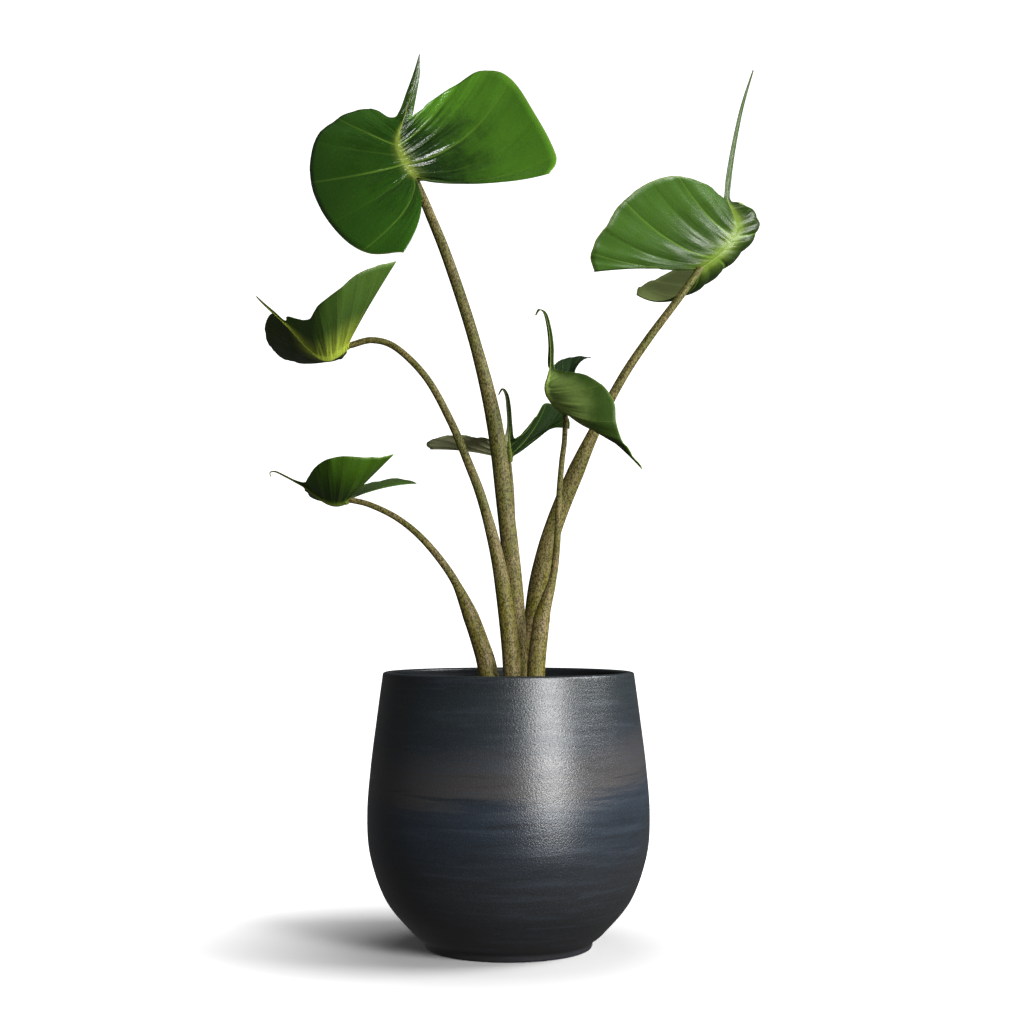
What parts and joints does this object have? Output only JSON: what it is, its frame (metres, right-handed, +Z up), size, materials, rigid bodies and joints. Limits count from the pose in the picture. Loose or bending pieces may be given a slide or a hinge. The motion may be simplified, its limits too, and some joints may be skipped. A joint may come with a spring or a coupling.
{
  "type": "potted stingray alocasia plant",
  "caption": "Potted aroid house plant: ray-shaped glossy leaves with raised wings and thin tails, on mottled upright stalks, in a dark round glazed pot that stands on its flat foot.",
  "frame": {"origin": "centre of the pot's flat foot, on the surface that the pot stands on", "axes": "+Z up along the pot's axis, -Y towards the viewer of the picture, +X to the viewer's right"},
  "size_m": [0.5134, 0.282, 0.8999],
  "materials": {
    "glaze": "dark charcoal glaze in brushed bands",
    "mix": "damp dark peat and bark",
    "stalk": "olive skin mottled with dark specks",
    "leaf": "glossy green, quilted between the veins"
  },
  "bodies": {
    "root": {"pot": "glaze", "potting_mix": "mix", "petiole_a": "stalk", "petiole_b": "stalk", "petiole_c": "stalk", "petiole_d": "stalk", "petiole_e": "stalk", "petiole_f": "stalk", "blade_a": "leaf", "blade_b": "leaf", "blade_c": "leaf", "blade_d": "leaf", "blade_e": "leaf", "blade_f": "leaf"}
  },
  "joints": []
}
